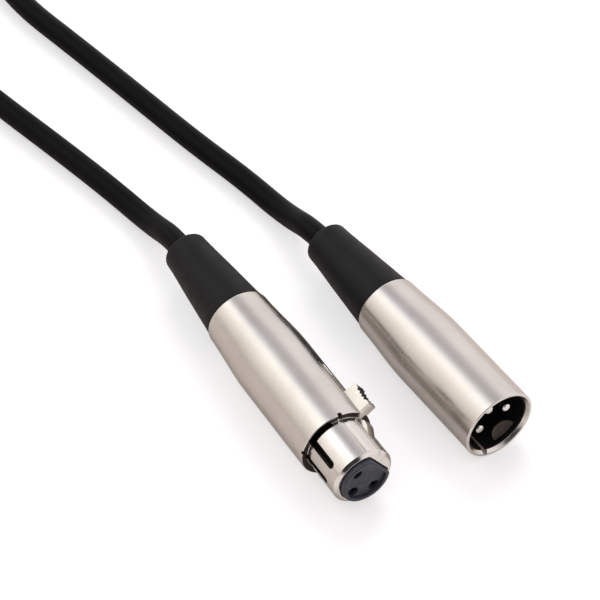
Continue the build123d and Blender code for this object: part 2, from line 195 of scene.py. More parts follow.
def finish(name, base, worn, rough, metallic=0.0, grain=5200.0, bump=0.25, bump_mm=0.012, patch=70.0,
           edge=0.0, specular=0.5, stretch=(1, 1, 1)):
    """Principled material with mottled colour, uneven gloss, fine grain and worn convex edges.

    base and worn are the two colours it varies between, rough is (low, high), grain and patch
    are noise scales per metre, and edge is how much the convex edges are worn.
    """
    material = bpy.data.materials.new(name)
    material.use_nodes = True
    tree = material.node_tree
    shader = tree.nodes["Principled BSDF"]
    at = node(tree, "ShaderNodeTexCoord").outputs["Object"]
    along = node(tree, "ShaderNodeMapping", {"Vector": at, "Scale": stretch}).outputs["Vector"]
    fine = noise(tree, along, grain, 2.0, 0.6)
    broad = noise(tree, at, patch, 6.0, 0.6)
    smudge = noise(tree, at, patch * 4.3, 4.0, 0.5)
    colour = mixed(tree, ranged(tree, broad, 0.3, 0.7, 0.0, 1.0), base, worn)
    colour = mixed(tree, ranged(tree, fine, 0.35, 0.7, 0.0, 0.35), colour, [c * 0.8 for c in base])
    gloss = maths(tree, "ADD", ranged(tree, smudge, 0.25, 0.75, rough[0], rough[1]),
                  ranged(tree, fine, 0.3, 0.7, -0.03, 0.03))
    if edge:
        point = node(tree, "ShaderNodeNewGeometry").outputs["Pointiness"]
        wear = maths(tree, "MULTIPLY", ranged(tree, point, 0.505, 0.56, 0.0, edge),
                     ranged(tree, smudge, 0.35, 0.6, 0.3, 1.0))
        colour = mixed(tree, wear, colour, [min(1.0, c * 1.25 + 0.02) for c in worn])
        gloss = maths(tree, "MULTIPLY", gloss, ranged(tree, wear, 0.0, 1.0, 1.0, 0.6))
    tree.links.new(colour, shader.inputs["Base Color"])
    tree.links.new(gloss, shader.inputs["Roughness"])
    shader.inputs["Metallic"].default_value = metallic
    shader.inputs["Specular IOR Level"].default_value = specular
    height = maths(tree, "ADD", fine, maths(tree, "MULTIPLY", smudge, 0.35))
    dent = node(tree, "ShaderNodeBump", {"Strength": bump, "Distance": bump_mm * MM, "Height": height})
    tree.links.new(dent.outputs["Normal"], shader.inputs["Normal"])
    material.diffuse_color = (*base, 1.0)
    return material


SHELL_NICKEL = finish("satin_nickel", (0.66, 0.625, 0.585), (0.74, 0.705, 0.665), (0.2, 0.28), metallic=1.0,
                      grain=5200, bump=0.7, bump_mm=0.012, patch=60, edge=0.5)
CAST_METAL = finish("cast_metal", (0.42, 0.36, 0.33), (0.66, 0.57, 0.53), (0.5, 0.68), metallic=1.0,
                    grain=2600, bump=0.9, bump_mm=0.03, patch=420)
# Painted shade: a near-black copy of the nickel, put on the female shell's front rim, gaps and latch channel and on
# the tab's grip, where they lie in shade
PAINTED_SHADE_METAL = finish("painted_shade_metal", (0.045, 0.038, 0.034), (0.085, 0.073, 0.066), (0.45, 0.62), metallic=1.0,
                    grain=3600, bump=0.5, bump_mm=0.015, patch=260, edge=0.6)
NOSE_NICKEL = finish("bright_nickel", (0.70, 0.67, 0.635), (0.78, 0.755, 0.72), (0.1, 0.17), metallic=1.0,
                     grain=2600, bump=0.25, bump_mm=0.006, patch=90, edge=0.5, stretch=(0.25, 3.0, 0.25))
LATCH_NICKEL = finish("latch_nickel", (0.62, 0.585, 0.54), (0.72, 0.69, 0.64), (0.2, 0.34), metallic=1.0,
                      grain=4200, bump=0.4, bump_mm=0.012, patch=160, edge=0.8)
BOOT_BLACK = finish("boot_black", (0.0062, 0.0062, 0.0068), (0.0085, 0.0084, 0.0088), (0.42, 0.55),
                    grain=4300, bump=0.4, bump_mm=0.014, patch=85, edge=0.3, specular=0.17)
CABLE_BLACK = finish("cable_black", (0.0022, 0.0022, 0.0025), (0.0038, 0.0036, 0.0038), (0.32, 0.45),
                     grain=3600, bump=0.3, bump_mm=0.012, patch=70, specular=0.07)
INSERT_GREY = finish("insert_grey", (0.020, 0.023, 0.032), (0.029, 0.033, 0.045), (0.36, 0.48),
                     grain=5200, bump=0.3, bump_mm=0.01, patch=160, edge=0.9, specular=0.4)
# Black plastic of the male liner, also put on the female contact block's rear body as painted shade
INSERT_BLACK_AND_PAINTED_SHADE = finish("insert_black", (0.004, 0.004, 0.004), (0.0065, 0.006, 0.0058), (0.42, 0.55),
                      grain=5200, bump=0.3, bump_mm=0.01, patch=160, edge=0.2, specular=0.15)
SILVER = finish("contact_silver", (0.80, 0.78, 0.74), (0.88, 0.87, 0.84), (0.1, 0.2), metallic=1.0,
                grain=4200, bump=0.2, bump_mm=0.006, patch=220, edge=0.3, stretch=(0.3, 2.0, 0.3))
BRASS = finish("contact_brass", (0.30, 0.22, 0.12), (0.42, 0.33, 0.20), (0.2, 0.34), metallic=1.0,
               grain=4200, bump=0.2, bump_mm=0.006, patch=220, edge=0.3, stretch=(0.3, 2.0, 0.3))
TINNED = finish("tinned_brass", (0.58, 0.57, 0.54), (0.68, 0.67, 0.64), (0.25, 0.42), metallic=1.0,
                grain=3800, bump=0.3, bump_mm=0.01, patch=260, edge=0.4)
SCREW_STEEL = finish("screw_steel", (0.16, 0.16, 0.165), (0.26, 0.26, 0.265), (0.28, 0.42), metallic=1.0,
                     grain=4600, bump=0.3, bump_mm=0.01, patch=320, edge=0.8)
SPRING_STEEL = finish("spring_steel", (0.42, 0.41, 0.40), (0.54, 0.53, 0.51), (0.14, 0.26), metallic=1.0,
                      grain=6200, bump=0.2, bump_mm=0.005, patch=420, edge=0.3)
CLAMP_WHITE = finish("clamp_plastic", (0.60, 0.57, 0.50), (0.68, 0.65, 0.58), (0.4, 0.55),
                     grain=4200, bump=0.25, bump_mm=0.01, patch=160, edge=0.3)
WIRE_RED = finish("core_red", (0.42, 0.013, 0.013), (0.52, 0.022, 0.02), (0.35, 0.5), grain=5200, patch=260)
WIRE_WHITE = finish("core_white", (0.70, 0.69, 0.65), (0.78, 0.77, 0.73), (0.35, 0.5), grain=5200, patch=260)
WIRE_BARE = finish("core_copper", (0.62, 0.30, 0.17), (0.76, 0.42, 0.27), (0.22, 0.38), metallic=1.0,
                   grain=3200, bump=0.7, bump_mm=0.03, patch=320, stretch=(1.0, 0.25, 1.0))
TIE_BLACK = finish("tie_nylon", (0.012, 0.012, 0.012), (0.018, 0.018, 0.018), (0.3, 0.42),
                   grain=4600, bump=0.25, bump_mm=0.01, patch=160, edge=0.5)


# ---------------------------------------------------------------- shaping

def rounded(corners, steps=5):
    """Closed outline with each corner (a, b, radius) turned into an arc; radius is left out where sharp."""
    out = []
    count = len(corners)
    for i, corner in enumerate(corners):
        here = Vector(corner[:2])
        radius = corner[2] if len(corner) > 2 else 0.0
        to_last = Vector(corners[i - 1][:2]) - here
        to_next = Vector(corners[(i + 1) % count][:2]) - here
        if radius <= 0:
            out.append(here)
            continue
        a, b = to_last.normalized(), to_next.normalized()
        half = a.angle(b) / 2
        reach = min(radius / math.tan(half), 0.49 * to_last.length, 0.49 * to_next.length)
        size = reach * math.tan(half)
        centre = here + (a + b).normalized() * (size / math.sin(half))
        start, end = here + a * reach - centre, here + b * reach - centre
        sweep = start.angle_signed(end)
        out += [centre + Matrix.Rotation(-sweep * k / steps, 2) @ start for k in range(steps + 1)]
    return [(p.x, p.y) for p in out]


def new_bm():
    return bmesh.new()


def lathe(outline, segments=144):
    """Solid of revolution about Z of a closed outline of (radius, z) points."""
    bm = new_bm()
    rings = []
    for radius, z in outline:
        if radius < 1e-6:
            rings.append([bm.verts.new((0, 0, z))] * segments)
        else:
            rings.append([bm.verts.new((radius * math.cos(a), radius * math.sin(a), z))
                          for a in (2 * math.pi * k / segments for k in range(segments))])
    for one, two in zip(rings, rings[1:] + rings[:1]):
        for k in range(segments):
            corners = []
            for v in (one[k], two[k], two[(k + 1) % segments], one[(k + 1) % segments]):
                if v not in corners:
                    corners.append(v)
            if len(corners) > 2:
                bm.faces.new(corners)
    bmesh.ops.recalc_face_normals(bm, faces=bm.faces)
    return bm


def prism(outline, low, high, matrix=None):
    """Outline of (x, y) points extruded from z low to z high, then placed by matrix."""
    bm = new_bm()
    bottom = [bm.verts.new((x, y, low)) for x, y in outline]
    top = [bm.verts.new((x, y, high)) for x, y in outline]
    bm.faces.new(bottom)
    bm.faces.new(top)
    for k in range(len(outline)):
        j = (k + 1) % len(outline)
        bm.faces.new((bottom[k], bottom[j], top[j], top[k]))
    if matrix is not None:
        bm.transform(matrix)
    bmesh.ops.recalc_face_normals(bm, faces=bm.faces)
    return bm


def box(x0, x1, y0, y1, z0, z1):
    return prism([(x0, y0), (x1, y0), (x1, y1), (x0, y1)], z0, z1)


def rod(radius, z0, z1, x=0.0, y=0.0, segments=48):
    return prism([(x + radius * math.cos(a), y + radius * math.sin(a))
                  for a in (2 * math.pi * k / segments for k in range(segments))], z0, z1)


def wedge(inner, outer, z0, z1, start, end, steps=24):
    """Part of a ring between two angles in degrees."""
    angles = [math.radians(start + (end - start) * k / steps) for k in range(steps + 1)]
    outline = [(inner * math.cos(a), inner * math.sin(a)) for a in angles]
    outline += [(outer * math.cos(a), outer * math.sin(a)) for a in reversed(angles)]
    return prism(outline, z0, z1)


# Ways to turn a prism: its outline into the latch plane, or its depth outward along X with the outline in (z, y)
LATCH_PLANE = Matrix(((1, 0, 0, 0), (0, 0, 1, 0), (0, 1, 0, 0), (0, 0, 0, 1)))
OUTWARD = Matrix(((0, 0, 1, 0), (0, 1, 0, 0), (1, 0, 0, 0), (0, 0, 0, 1)))


def slab(outline, half_width):
    """Outline of (x, z) points in the latch plane, thickened both ways along Y."""
    return prism(outline, -half_width, half_width, LATCH_PLANE)


def cross_rod(radius, half_length, x, z, segments=40):
    return slab([(x + radius * math.cos(a), z + radius * math.sin(a))
                 for a in (2 * math.pi * k / segments for k in range(segments))], half_length)


def as_object(bm):
    mesh = bpy.data.meshes.new("scratch")
    bm.to_mesh(mesh)
    bm.free()
    obj = bpy.data.objects.new("scratch", mesh)
    bpy.context.scene.collection.objects.link(obj)
    return obj


def combine(base, add=(), cut=(), keep=()):
    """The base solid joined with add, less cut, and limited to keep."""
    host = as_object(base)
    tools = [(t, "UNION") for t in add] + [(t, "DIFFERENCE") for t in cut] + [(t, "INTERSECT") for t in keep]
    scratch = [host]
    for tool, operation in tools:
        modifier = host.modifiers.new("b", "BOOLEAN")
        modifier.solver = "EXACT"
        modifier.operation = operation
        modifier.object = as_object(tool)
        scratch.append(modifier.object)
    done = bpy.data.meshes.new_from_object(host.evaluated_get(bpy.context.evaluated_depsgraph_get()))
    bm = new_bm()
    bm.from_mesh(done)
    for obj in scratch:
        mesh = obj.data
        bpy.data.objects.remove(obj)
        bpy.data.meshes.remove(mesh)
    bpy.data.meshes.remove(done)
    bmesh.ops.remove_doubles(bm, verts=bm.verts, dist=0.004)
    bmesh.ops.dissolve_degenerate(bm, edges=bm.edges, dist=0.002)
    return bm


def soften(bm, width, segments=2, angle=32.0, where=None):
    """Rounds the edges that turn by more than angle degrees."""
    limit = math.radians(angle)
    edges = [e for e in bm.edges if len(e.link_faces) == 2 and e.calc_face_angle(0.0) > limit
             and (where is None or where((e.verts[0].co + e.verts[1].co) / 2))]
    bmesh.ops.bevel(bm, geom=edges, offset=width, offset_type="OFFSET", segments=segments, profile=0.5,
                    affect="EDGES", clamp_overlap=True)
    return bm


def make(name, bm, place, material, replaces, body="cable", second_material=None):
    """Adds a piece to the scene; the optional pair is a second material, a real one or painted shade,
    and a test for the faces that take it.

    A piece that bends between two bodies has no body here.
    """
    if second_material:
        for face in bm.faces:
            face.material_index = int(second_material[1](face.calc_center_median()))
    bm.transform(place)
    bmesh.ops.recalc_face_normals(bm, faces=bm.faces)
    mesh = bpy.data.meshes.new(name)
    bm.to_mesh(mesh)
    bm.free()
    mesh.shade_smooth()
    mesh.set_sharp_from_angle(angle=SHARP_ANGLE)
    mesh.materials.append(material)
    if second_material:
        mesh.materials.append(second_material[0])
    obj = bpy.data.objects.new(name, mesh)
    bpy.context.scene.collection.objects.link(obj)
    if body:
        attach(obj, body)
    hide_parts(*replaces)
    return obj


def spot(radius, angle):
    return radius * math.cos(math.radians(angle)), radius * math.sin(math.radians(angle))


# ---------------------------------------------------------------- camera

def set_camera():
    eye, target = Vector((-0.2550, -0.4076, 0.5488)), Vector((-0.0019, 0.0152, 0.0095))
    data = bpy.data.cameras.new("camera")
    data.sensor_width = 36.0
    data.lens = 180.0
    data.clip_start, data.clip_end = 0.05, 20.0
    camera = bpy.data.objects.new("camera", data)
    camera.location = eye
    camera.rotation_euler = (target - eye).to_track_quat("-Z", "Y").to_euler()
    bpy.context.scene.collection.objects.link(camera)
    bpy.context.scene.camera = camera


# ---------------------------------------------------------------- cable

def eased(x):
    x = min(1.0, max(0.0, x))
    return x * x * (3 - 2 * x)


def coil_points():
    """Turns three wide and four high, each moving over to the next place in the last fifth of its turn.

    Where the winding changes direction, the move begins a little sooner, so the turns don't meet.
    """
    reach = 1 / (0.75 + 0.25 * math.cos(2 * math.pi / POINTS_PER_TURN))
    begins, begin = [], 0.8
    for here, there, after in zip(COIL_PLACES, COIL_PLACES[1:], COIL_PLACES[2:] + COIL_PLACES[-1:]):
        begins.append(begin)
        if (here[0] == there[0]) != (there[0] == after[0]):
            begin -= 0.02
    points = []
    for step in range(math.ceil(COIL_TURNS * POINTS_PER_TURN) + 1):
        turns = min(step / POINTS_PER_TURN, COIL_TURNS)
        radius, height = COIL_PLACES[0]
        for number, begin in enumerate(begins):
            shift = eased((turns - number - begin) / 0.2)
            radius += shift * (COIL_PLACES[number + 1][0] - COIL_PLACES[number][0])
            height += shift * (COIL_PLACES[number + 1][1] - COIL_PLACES[number][1])
        angle = math.radians(COIL_START_DEG - 360 * turns)
        points.append((COIL_CENTRE[0] + radius * reach * MM * math.cos(angle),
                       COIL_CENTRE[1] + radius * reach * MM * math.sin(angle), height * MM))
    return points


def make_cable():
    female_end = [
        FEMALE @ Vector((0, 0, 60)), FEMALE @ Vector((0, 0, 76.2)), (-0.0176, 0.0615, 0.0032),
        (-0.0206, 0.0785, 0.003), (-0.0252, 0.0985, 0.003), (-0.0309, 0.1215, 0.003),
        (-0.0362, 0.1460, 0.003), (-0.0392, 0.1680, 0.003), (-0.0419, 0.1910, 0.0032),
        (-0.0442, 0.2134, 0.0038)]
    male_end = [
        (0.0097, 0.2050, 0.0088), (0.0009, 0.1885, 0.0056), (-0.0074, 0.1715, 0.0032),
        (-0.0080, 0.1525, 0.003), (-0.0032, 0.1300, 0.003), (0.0016, 0.1055, 0.003),
        (0.0062, 0.0815, 0.003), (0.0105, 0.0635, 0.003), (0.0130, 0.0470, 0.0033),
        MALE @ Vector((0, 0, 76)), MALE @ Vector((0, 0, 60))]
    points = [*female_end, *coil_points(), *male_end]
    curve = bpy.data.curves.new("cable", "CURVE")
    curve.dimensions = "3D"
    curve.bevel_depth = CABLE_D / 2
    curve.bevel_resolution = 8
    curve.resolution_u = 8
    curve.use_fill_caps = True
    spline = curve.splines.new("NURBS")
    spline.points.add(len(points) - 1)
    for point, at in zip(spline.points, points):
        point.co = (*at, 1.0)
    spline.order_u = 3
    spline.use_endpoint_u = True
    curve.materials.append(CABLE_BLACK)
    cable = bpy.data.objects.new("cable_cord", curve)
    bpy.context.scene.collection.objects.link(cable)
    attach(cable, "cable")
    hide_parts("cable_lead_female", "cable_lead_male", "cable_coil")
    return cable


def make_tie():
    """Cable tie round the bundle: strap with ridges, square head and a short tail."""
    inner, outer, bottom, top = 20.0, 40.0, 0.05, 26.0
    half = 2.4
    ring_out = rounded([(inner, bottom, 3.8), (outer, bottom, 3.8), (outer, top, 3.8), (inner, top, 3.8)], 8)
    ring_in = rounded([(inner + 1, bottom + 0.95, 2.8), (outer - 1, bottom + 0.95, 2.8),
                       (outer - 1, top - 1, 2.8), (inner + 1, top - 1, 2.8)], 8)
    strap = combine(slab(ring_out, half), cut=[slab(ring_in, half + 1)])
    soften(strap, 0.3, 2, 50)
    ridges = [box(outer - 0.2, outer + 0.25, -1.5, 1.5, z, z + 0.5) for z in (3.4, 4.4, 5.4, 6.4, 7.4, 8.4)]
    head = soften(box(outer - 0.3, outer + 3.5, -3.4, 3.4, 10.0, 17.0), 0.6, 3)
    head = combine(head, cut=[box(outer + 2.0, outer + 4.0, -1.6, 1.6, 12.6, 14.6),
                              box(outer + 0.2, outer + 1.6, -2.5, 2.5, 16.0, 18.0)])
    tail = slab(rounded([(outer + 0.3, 16.2), (outer + 1.4, 16.2), (outer + 2.6, 20.5, 8.0),
                         (outer + 3.3, 24.6, 0.4), (outer + 2.4, 25.0, 0.4), (outer + 1.6, 20.8, 8.0)], 6), half)
    soften(tail, 0.25, 2, 50)
    bm = strap
    for extra in [*ridges, head, tail]:
        mesh = bpy.data.meshes.new("scratch")
        extra.to_mesh(mesh)
        extra.free()
        bm.from_mesh(mesh)
        bpy.data.meshes.remove(mesh)
    place = Matrix.Translation((*COIL_CENTRE, 0)) @ Matrix.Rotation(math.radians(60), 4, "Z") @ Matrix.Scale(MM, 4)
    return make("tie", bm, place, TIE_BLACK, ["cable_tie"])


# ---------------------------------------------------------------- shells, boots and inserts

def shell_outline(front, inside):
    """Outer profile from the front rim to the rear rim, then the bore's steps back to the front."""
    return rounded([(SHELL_R, 0.0, front), *SHELL_PROFILE, (SHELL_REAR_R, SHELL_LENGTH, 0.75),
                    (BORE_R, SHELL_LENGTH, 0.15), *inside], 6)


def female_shell():
    outline = shell_outline(0.4, [(BORE_R, NOSE_REAR), (NOSE_SEAT_R, NOSE_REAR), (NOSE_SEAT_R, 0.0, 0.12)])
    low, high = SHELL_GAP
    cuts = [box(6.0, BIG, -SLOT_HALF_WIDTH, SLOT_HALF_WIDTH, -1, SLOT_REAR),
            box(CHANNEL_FLOOR, BIG, -CHANNEL_HALF_WIDTH, CHANNEL_HALF_WIDTH, CHANNEL_START, SHELL_LENGTH + 1),
            wedge(NOSE_SEAT_R - 0.3, GAP_R, -1, SHELL_GAP_REAR, low, high),
            wedge(NOSE_SEAT_R - 0.3, GAP_R, -1, SHELL_GAP_REAR, -high, -low),
            *[wedge(inner, BIG, -1, depth, start, end, 6) for inner, depth, start, end in RIM_NOTCHES],
            cross_rod(PIVOT_R, 3.0, PIVOT_X, PIVOT_Z), screw_hole(*FEMALE_SCREW)]
    return soften(combine(lathe(outline, SHELL_SEGMENTS), cut=cuts), 0.11)


def screw_hole(z, angle):
    bm = rod(SCREW_R, 6.0, BIG)
    bm.transform(Matrix.Rotation(math.radians(angle), 4, "Z") @ Matrix.Translation((0, 0, z))
                 @ Matrix.Rotation(math.radians(90), 4, "Y"))
    return bm


def window():
    """D-shaped recess that a latch hook drops into: straight side forward, round side rearward."""
    front, side, half, length = WINDOW
    outline = [(front, side - half), (front, side + half)]
    outline += [(front + length * math.sin(a), side + half * math.cos(a))
                for a in (math.pi * k / 24 for k in range(1, 24))]
    return combine(prism(outline, MOUTH_R - 2.5, BIG, OUTWARD), keep=[rod(WINDOW_R, -1, BIG, segments=96)])


def key_groove():
    return rod(KEY_GROOVE_R, -1, KEY_GROOVE_END, *spot(LIP_R, KEY_ANGLE), segments=32)


def male_shell():
    outline = shell_outline(0.45, [(BORE_R, MALE_INSERT_REAR), (LINER_R, MALE_INSERT_REAR), (LINER_R, LINER_FRONT),
                                   (LIP_R, LINER_FRONT), (LIP_R, 0.85, 0.1), (8.85, 0.0, 0.2)])
    cuts = [window(), key_groove(), screw_hole(*MALE_SCREW)]
    return soften(combine(lathe(outline, SHELL_SEGMENTS), cut=cuts), 0.09)


def male_insert():
    """Black liner of the mouth, with a floor that the pins stand in."""
    outline = rounded([(0.0, MOUTH_FLOOR), (MOUTH_R, MOUTH_FLOOR, 0.5), (MOUTH_R, LINER_FRONT, 0.15),
                       (LINER_R, LINER_FRONT), (LINER_R, MALE_INSERT_REAR), (0.0, MALE_INSERT_REAR)], 4)
    spots = [spot(PITCH_R, a) for a in CONTACT_ANGLES]
    body = combine(lathe(outline, 144), cut=[window(), key_groove(),
                                             *[rod(PIN_ROOT_R, 12, 21, x, y) for x, y in spots]])
    return soften(body, 0.08, where=lambda p: abs(math.degrees(math.atan2(p.y, p.x)) - KEY_ANGLE) > 9)


def male_pin():
    outline = rounded([(0.0, PIN_TIP), (PIN_R, PIN_TIP, 1.17), (PIN_R, MOUTH_FLOOR), (PIN_ROOT_R, MOUTH_FLOOR),
                       (PIN_ROOT_R, MALE_INSERT_REAR), (CUP_R, MALE_INSERT_REAR), (CUP_R, MALE_CUP_END, 0.08),
                       (CUP_BORE_R, MALE_CUP_END, 0.08), (CUP_BORE_R, MALE_CUP_END - CUP_DEPTH),
                       (0.0, MALE_CUP_END - CUP_DEPTH)], 8)
    return lathe(outline, 48)


def off_rib(p):
    """Whether a point of the nose is away from the key rib and the creases at its foot."""
    return p.z < -11.6 or abs(math.degrees(math.atan2(p.y, p.x)) - RIB_ANGLE) > 2 * RIB_HALF_ANGLE


def female_nose():
    """Front sleeve: D-shaped bore, key rib, latch channel and the slots of its sprung fingers."""
    outline = rounded([(0.0, NOSE_FRONT), (NOSE_R - 0.85, NOSE_FRONT, 0.2), (NOSE_R, NOSE_FRONT + 0.75, 0.45),
                       (NOSE_R, 0.0), (NOSE_SEAT_R, 0.0), (NOSE_SEAT_R, NOSE_REAR), (0.0, NOSE_REAR)], 5)
    bore = combine(rod(INSERT_R, NOSE_FRONT - 1, NOSE_REAR + 1, segments=128),
                   cut=[box(INSERT_CHORD, BIG, -BIG, BIG, NOSE_FRONT - 2, NOSE_REAR + 2)])
    low, high = NOSE_GAP
    cuts = [bore, box(NOSE_CHANNEL_FLOOR, BIG, -SLOT_HALF_WIDTH, SLOT_HALF_WIDTH, NOSE_CHANNEL_FRONT, BIG)]
    for side in (-1, 1):
        cuts += [slot_tool(angle * side, half_angle, front) for angle, half_angle, front in FINGER_SLOTS]
    cuts.append(wedge(INSERT_R - 0.6, BIG, GAP_FRONT, NOSE_GAP_REAR, low, high))
    cuts.append(wedge(INSERT_R - 0.6, BIG, GAP_FRONT, NOSE_GAP_REAR, -high, -low))
    rib = wedge(NOSE_R - 0.4, RIB_R, RIB_FRONT, RIB_REAR, RIB_ANGLE - RIB_HALF_ANGLE, RIB_ANGLE + RIB_HALF_ANGLE, 8)
    for side in (-1, 1):
        foot = RIB_ANGLE + side * (RIB_HALF_ANGLE + 0.3)
        cuts.append(wedge(NOSE_R - CREASE_DEPTH, BIG, RIB_FRONT - 0.1, RIB_REAR, foot - CREASE_HALF_ANGLE,
                          foot + CREASE_HALF_ANGLE, 2))
    body = soften(combine(lathe(outline, SHELL_SEGMENTS), cut=cuts), 0.1, angle=40.0, where=off_rib)
    return soften(combine(body, add=[rib]), 0.05, where=lambda p: math.hypot(p.x, p.y) > NOSE_R + 0.05)


def slot_tool(angle, half_angle, front):
    """Axial slot through the sleeve, round at its front end."""
    half = math.radians(half_angle) * NOSE_R
    outline = [(3.0, -half), (3.0, half)]
    outline += [(front + half - half * math.sin(a), half * math.cos(a))
                for a in (math.pi * k / 12 for k in range(13))]
    bm = prism(outline, INSERT_R - 0.6, BIG, OUTWARD)
    bm.transform(Matrix.Rotation(math.radians(angle), 4, "Z"))
    return bm


def female_insert():
    """Contact block: flange with a raised rim round a sunken face and three socket holes, neck and seat."""
    outline = [(0.0, INSERT_FRONT), (FLANGE_R, INSERT_FRONT), (FLANGE_R, FLANGE_REAR), (NECK_R, FLANGE_REAR),
               (NECK_R, INSERT_SEAT), (INSERT_R, INSERT_SEAT), (INSERT_R, NOSE_REAR), (0.0, NOSE_REAR)]
    body = combine(lathe(outline, 128), cut=[box(FLANGE_CHORD, BIG, -BIG, BIG, INSERT_FRONT - 1, INSERT_SEAT),
                                             box(INSERT_CHORD, BIG, -BIG, BIG, INSERT_SEAT - 1, NOSE_REAR + 1)])
    soften(body, 0.3, 4, where=lambda p: p.z < INSERT_FRONT + 0.1)
    sunk = combine(rod(FLANGE_R - FACE_RIM, INSERT_FRONT - 1, INSERT_FRONT + FACE_DEPTH, segments=96),
                   cut=[box(FLANGE_CHORD - FACE_RIM / 2, BIG, -BIG, BIG, INSERT_FRONT - 2, INSERT_FRONT + 2)])
    cuts = [sunk]
    for angle in CONTACT_ANGLES:
        x, y = spot(PITCH_R, angle)
        cuts += [rod(ENTRY_R, INSERT_FRONT - 1, CONTACT_FRONT + 0.1, x, y),
                 rod(BARREL_R, CONTACT_FRONT, NOSE_REAR + 1, x, y)]
    return soften(combine(body, cut=cuts), 0.1, where=lambda p: p.z < INSERT_FRONT + 1.0)


def latch_lever():
    """Lever with a serrated thumb tab, a ramped hook in front and a forked pivot end."""
    corners = [(7.1, -5.4, 0.15), (7.55, -5.4, 0.1), (8.72, -3.1, 0.3), (8.84, -2.0, 0.3), (8.1, -0.8, 0.2),
               (7.6, -0.6, 0.15), (7.6, 0.6, 0.2), (12.16, 0.57, 0.2)]
    corners += [(x, z, 0.07) for x, z in GRIP]
    corners += [(12.65, 6.85, 0.12), (12.52, 7.22, 0.15), (9.6, 7.6, 0.2), (9.15, 7.8, 0.2), (9.15, 14.6, 0.3),
                (7.6, 14.8, 0.2), (7.6, 9.0, 0.4), (7.1, 8.2, 0.4)]
    tab = soften(slab(rounded(corners, 4), LATCH_HALF_WIDTH), 0.09, 3, 60)
    fork = slab(rounded([(7.6, 13.6), (9.15, 13.6), (9.15, 19.35, 0.25), (8.27, 19.4, 0.15), (8.27, 17.2),
                         (7.6, 17.0)], 4), LATCH_HALF_WIDTH)
    body = combine(tab, add=[fork, cross_rod(1.15, LATCH_HALF_WIDTH, PIVOT_X, PIVOT_Z)],
                   cut=[box(6, 10, -0.95, 0.95, 14.8, 20), cross_rod(PIVOT_R + 0.05, 4, PIVOT_X, PIVOT_Z)])
    return soften(body, 0.07, 2, 50, where=lambda p: p.z > 14.0)


def boot():
    """Strain-relief boot: threaded spigot inside the shell, tapering sleeve with a round end."""
    outline = rounded([
        (3.0, 37.2), (6.1, 37.2), (6.1, 37.0), (BORE_R, 37.0, 0.3), (BORE_R, BOOT_FRONT), (8.0, BOOT_FRONT, 0.2),
        (7.7, 49.0), (7.42, 52.2), (7.05, 56.2), (6.68, 60.3), (6.27, 64.3), (5.88, 68.3), (5.62, BOOT_REAR, 1.3),
        (3.6, BOOT_REAR, 0.5), (3.02, 71.6, 0.3)], 6)
    return lathe(outline, 128)


def in_female_painted_shade(p):
    """Whether a point is on the front rim, in its gaps or in the channel that the lever lies in: the places that
    take painted shade.
    """
    across = math.hypot(p.x, p.y)
    rim = NOSE_SEAT_R - 0.1 < across < 9.3 and p.z < 2.1
    channel = p.x > 6 and abs(p.y) < CHANNEL_HALF_WIDTH + 0.01 and across < 9.42 and p.z < SHELL_LENGTH - 0.2
    return rim or channel


def latch_spring():
    """Wound wire round the pivot, with a leg under the lever and one on the carrier."""
    steps = 28
    coil = []
    for k in range(SPRING_TURNS * steps + 1):
        a = 2 * math.pi * k / steps
        coil.append(Vector((PIVOT_X - SPRING_MID_R * math.cos(a), SPRING_LENGTH * (k / (SPRING_TURNS * steps) - 0.5),
                            PIVOT_Z - SPRING_MID_R * math.sin(a))))
    front, rear = Vector((7.37, -SPRING_LENGTH / 2, 10.4)), Vector((6.62, SPRING_LENGTH / 2, 19.8))
    path = [front.lerp(coil[0], k / 12) for k in range(12)] + coil
    path += [path[-1].lerp(rear, k / 6) for k in range(1, 7)]
    bm, rings, sides = new_bm(), [], 12
    for k, here in enumerate(path):
        along = (path[min(k + 1, len(path) - 1)] - path[max(k - 1, 0)]).normalized()
        side = along.cross(Vector((0, 1, 0))).normalized()
        up = side.cross(along)
        rings.append([bm.verts.new(here + (side * math.cos(t) + up * math.sin(t)) * SPRING_WIRE_R)
                      for t in (2 * math.pi * n / sides for n in range(sides))])
    for one, two in zip(rings, rings[1:]):
        for n in range(sides):
            m = (n + 1) % sides
            bm.faces.new((one[n], one[m], two[m], two[n]))
    bm.faces.new(rings[0])
    bm.faces.new(rings[-1])
    return bm


